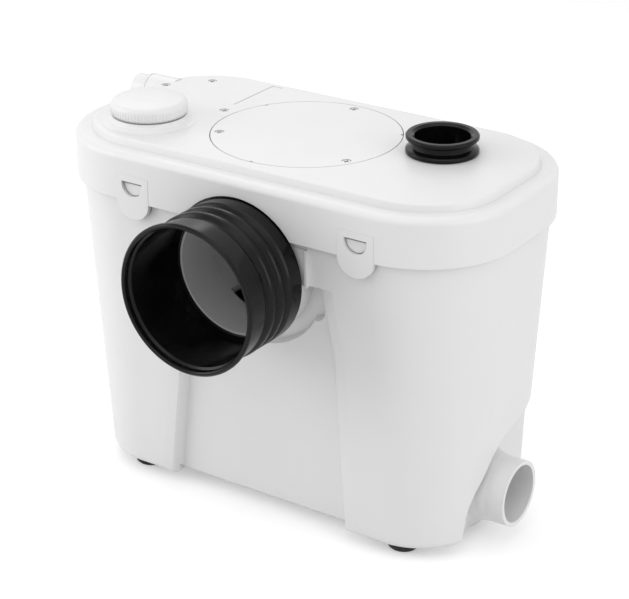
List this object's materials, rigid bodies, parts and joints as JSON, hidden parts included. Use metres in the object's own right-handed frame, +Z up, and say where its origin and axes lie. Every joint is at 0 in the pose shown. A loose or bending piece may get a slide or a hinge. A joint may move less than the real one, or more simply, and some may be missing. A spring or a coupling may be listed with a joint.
{
  "type": "sewage pump",
  "caption": "White floor-standing macerator pump with a black rubber pan inlet, side and top inlets, domed vent cap and round motor cover.",
  "frame": {"origin": "on the floor, under the middle of the whole unit", "axes": "+Z up, +X along the case towards the side inlet, -Y towards the toilet pan"},
  "size_m": [0.3652, 0.2472, 0.2881],
  "materials": {
    "white_plastic": "smooth moulded white, satin gloss",
    "black_rubber": "smooth black rubber",
    "foot_rubber": "matte dark grey rubber",
    "steel": "plain steel",
    "grey_plastic": "matte moulded grey",
    "filter_pad": "open black foam",
    "core_iron": "stacked steel sheets",
    "copper_winding": "enamelled copper wire",
    "cast_aluminium": "cast, dull",
    "capacitor_can": "plain drawn can"
  },
  "bodies": {
    "unit": {"tank": "white_plastic", "lid": "white_plastic", "lid_gasket": "black_rubber", "motor_cover": "white_plastic", "motor_cover_seal": "black_rubber", "motor_cover_screws": "steel", "lid_screws": "steel", "cable_way_strip": "white_plastic", "cord_gland": "white_plastic", "pan_inlet_sleeve": "black_rubber", "top_inlet_sleeve": "black_rubber", "side_flap_pin": "steel", "side_flap_bracket": "grey_plastic", "riser_pipe": "grey_plastic", "discharge_elbow": "white_plastic", "elbow_seal": "black_rubber", "valve_body": "grey_plastic", "valve_pin": "steel", "motor_housing": "grey_plastic", "motor_housing_screws": "steel", "lower_bearing": "steel", "shaft_seal": "black_rubber", "stator_core": "core_iron", "stator_windings": "copper_winding", "motor_end_shield": "cast_aluminium", "motor_tie_bolts": "steel", "upper_bearing": "steel", "grid_basket": "grey_plastic", "pump_volute": "grey_plastic", "suction_plate": "grey_plastic", "suction_plate_screws": "steel", "run_capacitor": "capacitor_can", "terminal_block": "white_plastic", "switch_housing": "grey_plastic", "dip_tube": "grey_plastic", "switch_diaphragm": "black_rubber", "plunger_guide": "grey_plastic", "lever_pin": "steel", "microswitch": "grey_plastic", "rubber_feet": "foot_rubber"},
    "rotor": {"rotor_core": "core_iron", "motor_shaft": "steel", "macerator_blade": "steel", "blade_nut": "steel", "impeller": "grey_plastic", "impeller_nut": "steel"},
    "vent_cap": {"vent_cap": "white_plastic", "vent_filter": "filter_pad"},
    "side_flap": {"side_inlet_flap": "black_rubber"},
    "outlet_flap": {"valve_flap": "black_rubber"},
    "plunger": {"switch_plunger": "white_plastic"},
    "lever": {"switch_lever": "steel"}
  },
  "joints": [
    {"name": "rotor_spin", "type": "hinge", "parent": "unit", "child": "rotor", "pos_m": [0.0019, 0.02665, 0.1], "axis": [0, 0, 1], "continuous": true},
    {"name": "vent_cap_turn", "type": "hinge", "parent": "unit", "child": "vent_cap", "pos_m": [-0.1086, -0.01035, 0.275], "axis": [0, 0, 1], "range_deg": [0, 60]},
    {"name": "side_flap_swing", "type": "hinge", "parent": "unit", "child": "side_flap", "pos_m": [0.14385, 0.02295, 0.0664], "axis": [0, 1, 0], "range_deg": [0, 60]},
    {"name": "outlet_flap_swing", "type": "hinge", "parent": "unit", "child": "outlet_flap", "pos_m": [-0.1121, 0.07065, 0.1999], "axis": [0, 1, 0], "range_deg": [0, 65]},
    {"name": "plunger_slide", "type": "slide", "parent": "unit", "child": "plunger", "axis": [0, 0, 1], "range_m": [0, 0.0015]},
    {"name": "lever_swing", "type": "hinge", "parent": "unit", "child": "lever", "pos_m": [0.1174, -0.01335, 0.2439], "axis": [0, 1, 0], "range_deg": [0, 7.2]}
  ],
  "couplings": [
    {"joint": "lever_swing", "follows": "plunger_slide", "rad_per_m": 83.333}
  ]
}
